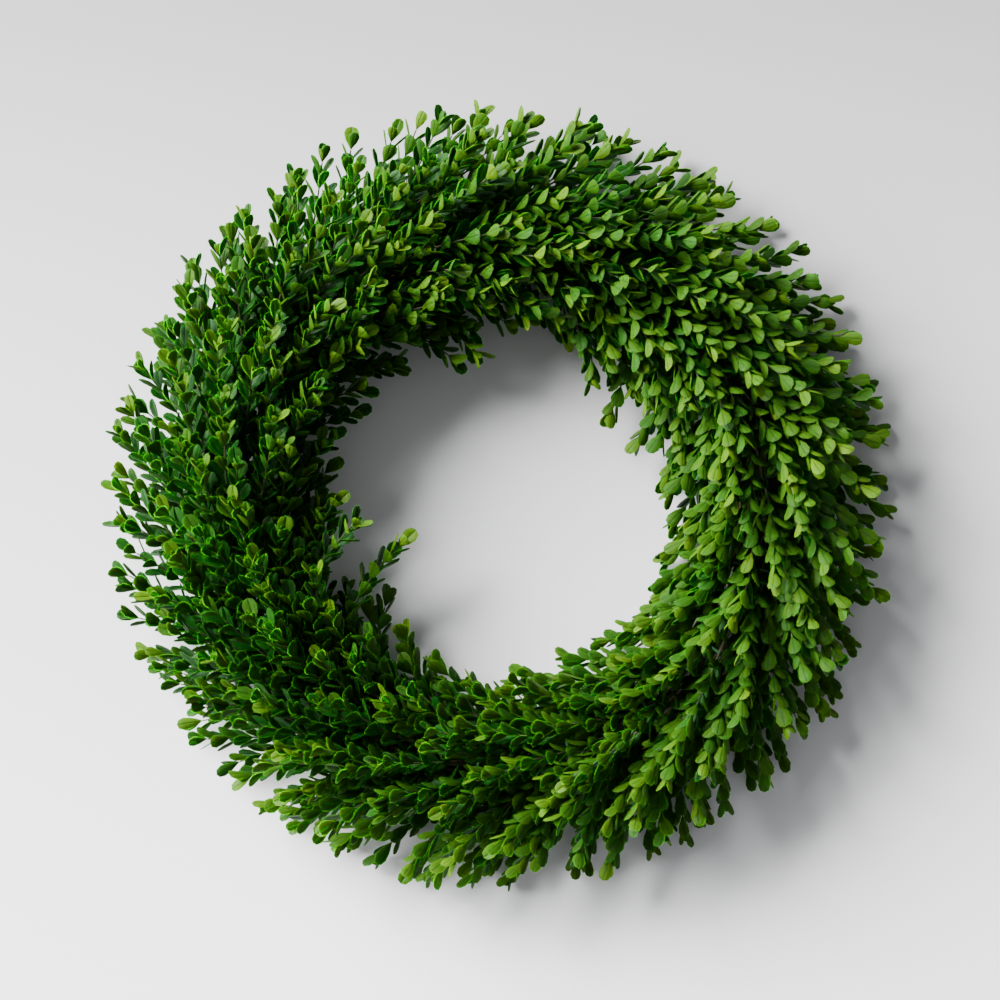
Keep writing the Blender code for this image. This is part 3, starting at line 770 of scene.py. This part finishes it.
leaf_pattern = box_leaf()
box_bunch = bunch_tree()
leaf_skin = leaf_finish()
bark = stem_finish()
for station in range(STATIONS):
    flop = flop_at(station_angle(station, FLOP_PLACE))
    lower_tilt, upper_tilt = [math.radians(tilt + more * flop) for tilt, more in LEAF_TILTS]
    for row, (name, *_) in enumerate(ROWS):
        bunch = grown(f"sprigs_{name}_{station + 1:02d}", bunch_lines(station, row), box_bunch, {
            "Leaf": leaf_pattern, "Leaf size": 1.0, "Leaf spacing": LEAF_SPACING,
            "Lower tilt": lower_tilt, "Upper tilt": upper_tilt, "Bare share": BARE_SHARE,
            "Lean to light": LEAN_TO_LIGHT + LEAN_LOSS * (flop - 1), "Floor room": FLOOR_ROOM,
            "Root radius": STEM_RADII[0], "Tip radius": STEM_RADII[1],
            "Seed": LEAF_SEEDS * (station * len(ROWS) + row),
            "Leaf finish": leaf_skin, "Stem finish": bark,
        })
        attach(bunch, "root")
        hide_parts(f"bunch_{name}_{station + 1:02d}")
bpy.data.objects.remove(leaf_pattern)


# The studio is a plain matt floor with painted light and shade: it is painted from grey at
# the picture's top to near white at its bottom, for light that grows towards the bottom. A large
# soft lamp stands on the upper left and a weaker one lower on the left, in the soft light of
# the room. The camera looks straight down through a long lens.
FLOOR_SIZE = 12.0
FLOOR_FADE = 0.36  # from the middle to where each shade is reached
FLOOR_SHADED_TOP = (0.33, 0.33, 0.33)
FLOOR_LIT_BOTTOM = (0.98, 0.98, 0.985)
FLOOR_ROUGHNESS = 0.9
LAMP_SIZE = 2.6
LAMPS = (
    ("key_lamp", (-3.05, 2.56, 2.30), 1350),
    ("low_lamp", (-4.23, 0.75, 1.65), 480),
)
ROOM_COLOUR = (0.95, 0.97, 1.0)
ROOM_LIGHT = 0.34
VIEW_WIDTH = 0.724  # of the picture, at the height of the outermost leaves
VIEW_HEIGHT = 0.035
VIEW_CENTRE = -0.001  # of the camera, along X
LENS = 100.0
SENSOR = 36.0

floor_mesh = bpy.data.meshes.new("studio_floor")
edge = FLOOR_SIZE / 2
floor_mesh.from_pydata(
    [(-edge, -edge, 0), (edge, -edge, 0), (edge, edge, 0), (-edge, edge, 0)], [], [(0, 1, 2, 3)]
)
floor = bpy.data.objects.new("studio_floor", floor_mesh)
bpy.context.collection.objects.link(floor)
paint, paint_tree, paint_shader = new_material("studio_floor")
paint_place = add(paint_tree, "ShaderNodeTexCoord").outputs["Object"]
paint_y = add(paint_tree, "ShaderNodeSeparateXYZ", {0: paint_place}).outputs[1]
# Painted light and shade: grey at the picture's top, near white at its bottom
floor_painted_light = ramp(paint_tree, paint_y, -FLOOR_FADE, FLOOR_FADE, 1.0, 0.0)
floor_painted_colour = mixed(paint_tree, floor_painted_light, FLOOR_SHADED_TOP, FLOOR_LIT_BOTTOM)
paint_tree.links.new(floor_painted_colour, paint_shader.inputs["Base Color"])
paint_shader.inputs["Roughness"].default_value = FLOOR_ROUGHNESS
floor_mesh.materials.append(paint)

for name, place, watts in LAMPS:
    lamp = bpy.data.lights.new(name, "AREA")
    lamp.size = LAMP_SIZE
    lamp.energy = watts
    holder = bpy.data.objects.new(name, lamp)
    holder.location = place
    holder.rotation_euler = (-Vector(place)).to_track_quat("-Z", "Y").to_euler()
    bpy.context.collection.objects.link(holder)

world = bpy.data.worlds.new("room_light")
world.use_nodes = True
world.node_tree.nodes["Background"].inputs[0].default_value = (*ROOM_COLOUR, 1)
world.node_tree.nodes["Background"].inputs[1].default_value = ROOM_LIGHT
bpy.context.scene.world = world

camera_data = bpy.data.cameras.new("camera")
camera_data.lens = LENS
camera_data.sensor_width = SENSOR
camera_data.clip_end = 20.0
camera = bpy.data.objects.new("camera", camera_data)
camera.location = (VIEW_CENTRE, 0.0, VIEW_WIDTH * LENS / SENSOR + VIEW_HEIGHT)
bpy.context.collection.objects.link(camera)
bpy.context.scene.camera = camera
